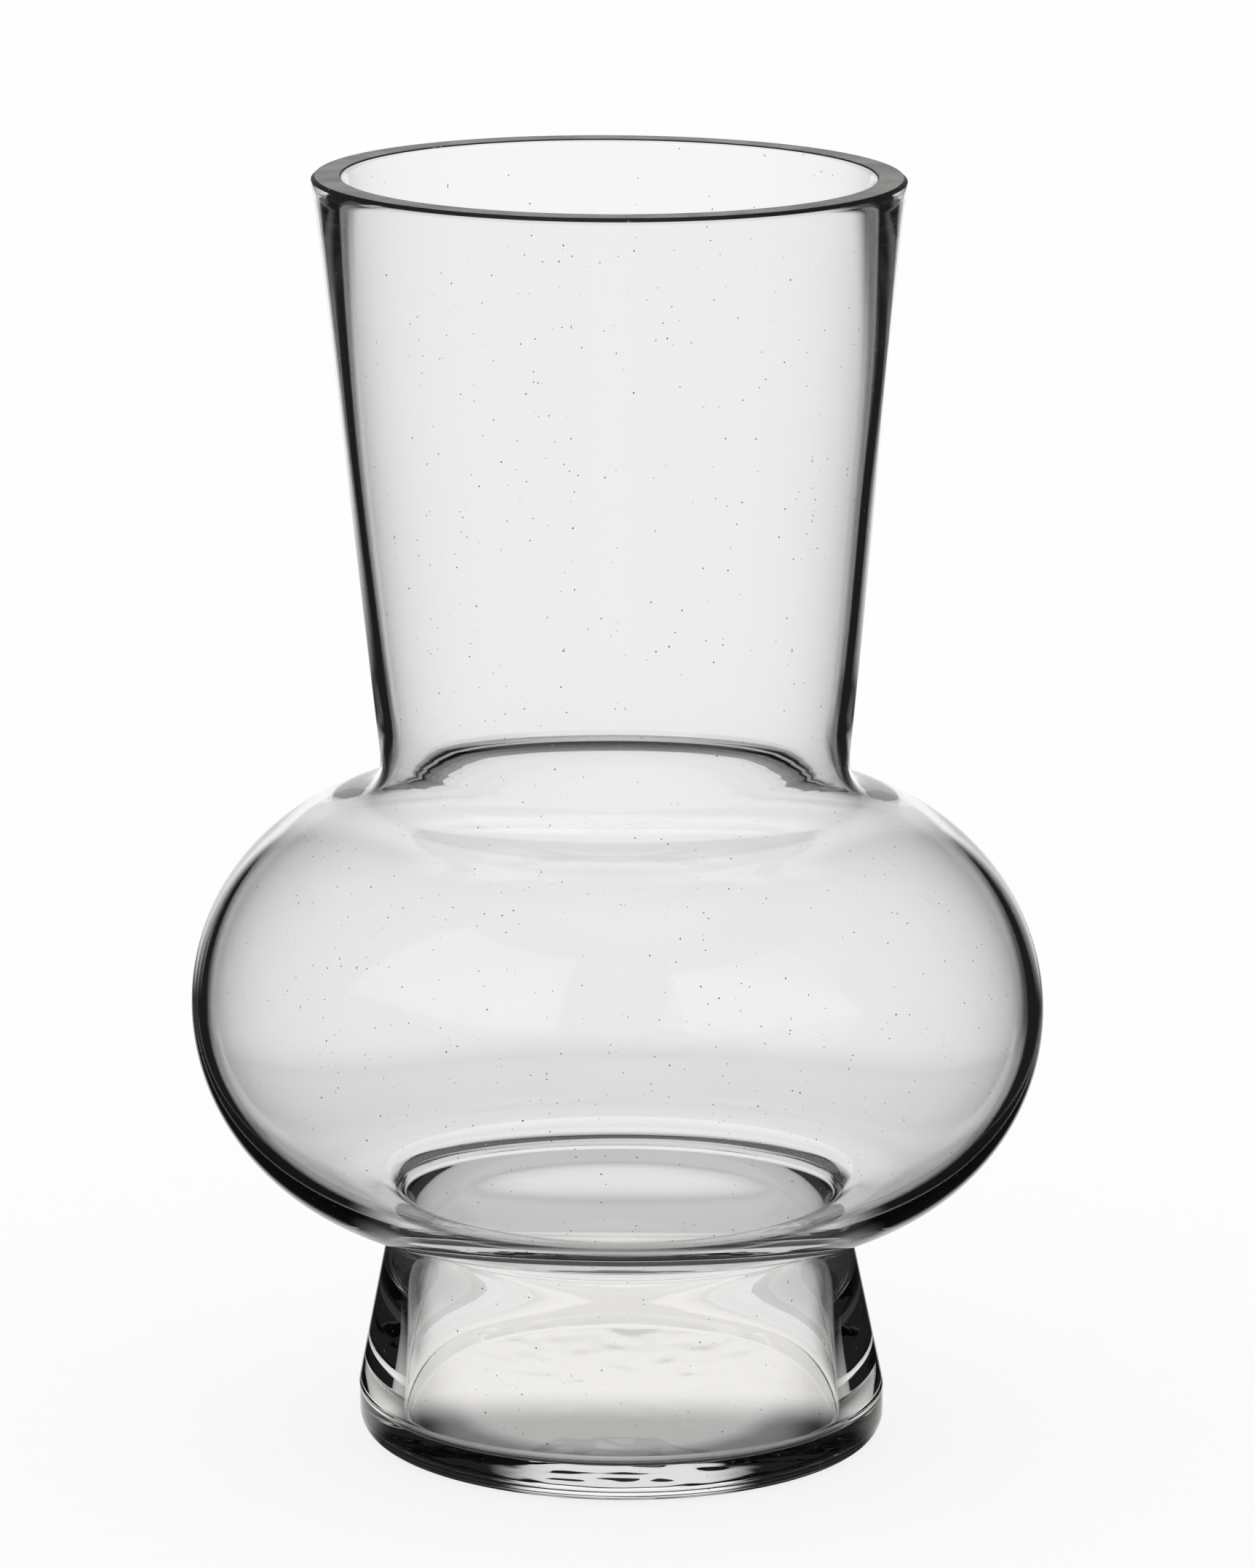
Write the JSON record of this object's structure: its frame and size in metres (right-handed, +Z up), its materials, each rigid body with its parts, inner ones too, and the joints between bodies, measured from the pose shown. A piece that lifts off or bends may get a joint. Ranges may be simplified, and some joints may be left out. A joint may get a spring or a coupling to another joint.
{
  "type": "trumpet vase",
  "caption": "Clear blown-glass vase: a flared trumpet neck with a ground rim on a flattened bulb and a heavy hollow conical foot, to hold cut flowers in water.",
  "frame": {"origin": "middle of the standing face, on the table", "axes": "+Z up along the axis that every section is turned about; the pictured side faces -Y"},
  "size_m": [0.18, 0.18, 0.27],
  "materials": {
    "clear_glass": "clear blown glass, fire polished, faintly grey where it is thick",
    "ground_rim": "clear glass cut and ground flat, satin, with bevelled edges"
  },
  "bodies": {
    "root": {"base": "clear_glass", "foot": "clear_glass", "bulb": "clear_glass", "neck": "clear_glass", "rim": "ground_rim"}
  },
  "joints": []
}
